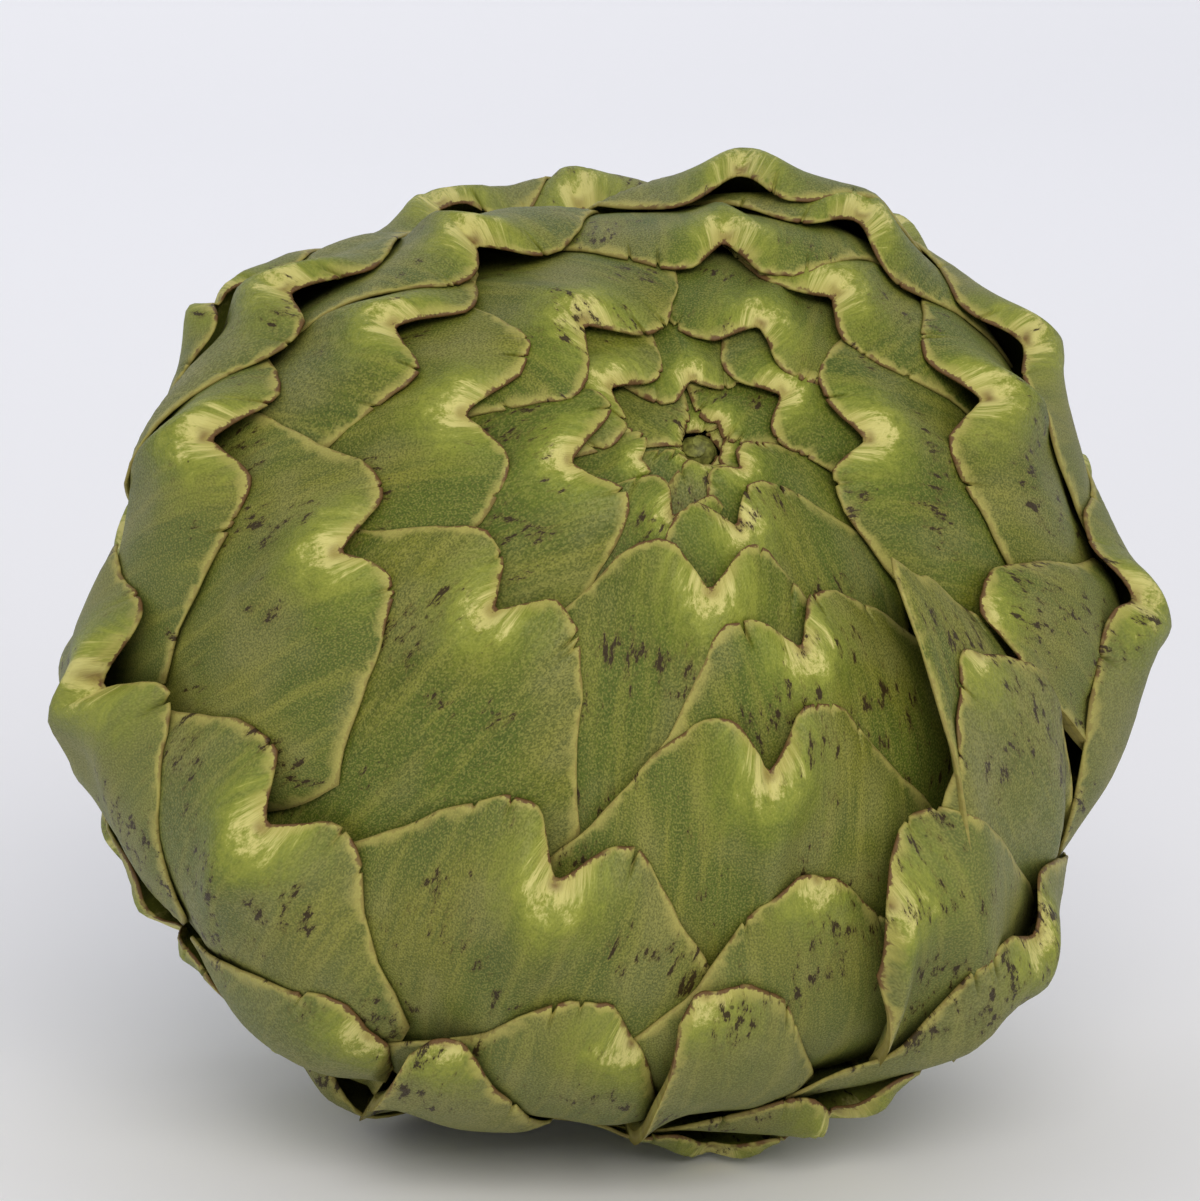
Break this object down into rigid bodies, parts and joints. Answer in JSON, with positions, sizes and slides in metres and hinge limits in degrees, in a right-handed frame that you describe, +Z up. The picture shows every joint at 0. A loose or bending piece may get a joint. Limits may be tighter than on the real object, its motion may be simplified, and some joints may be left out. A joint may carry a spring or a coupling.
{
  "type": "globe artichoke",
  "caption": "Whole globe artichoke lying on its side: a round head of overlapping notched bracts that close over a small bud, with a short cut stem.",
  "frame": {"origin": "on the supporting surface, in the middle of the flat spot on which the head lies", "axes": "+Z up, away from the surface; the tip of the head points to -Y and upwards at 36 degrees; the stem points to +Y and down"},
  "size_m": [0.122, 0.1218, 0.1071],
  "materials": {
    "bracts": "fresh green plant skin, waxy and matt, with paler streaks, yellow-green margins and small brown scuffs",
    "stem": "fresh pale green plant skin, ribbed and matt, with a fibrous cut end"
  },
  "bodies": {
    "root": {"bract_head": "bracts", "stem": "stem"}
  },
  "joints": []
}
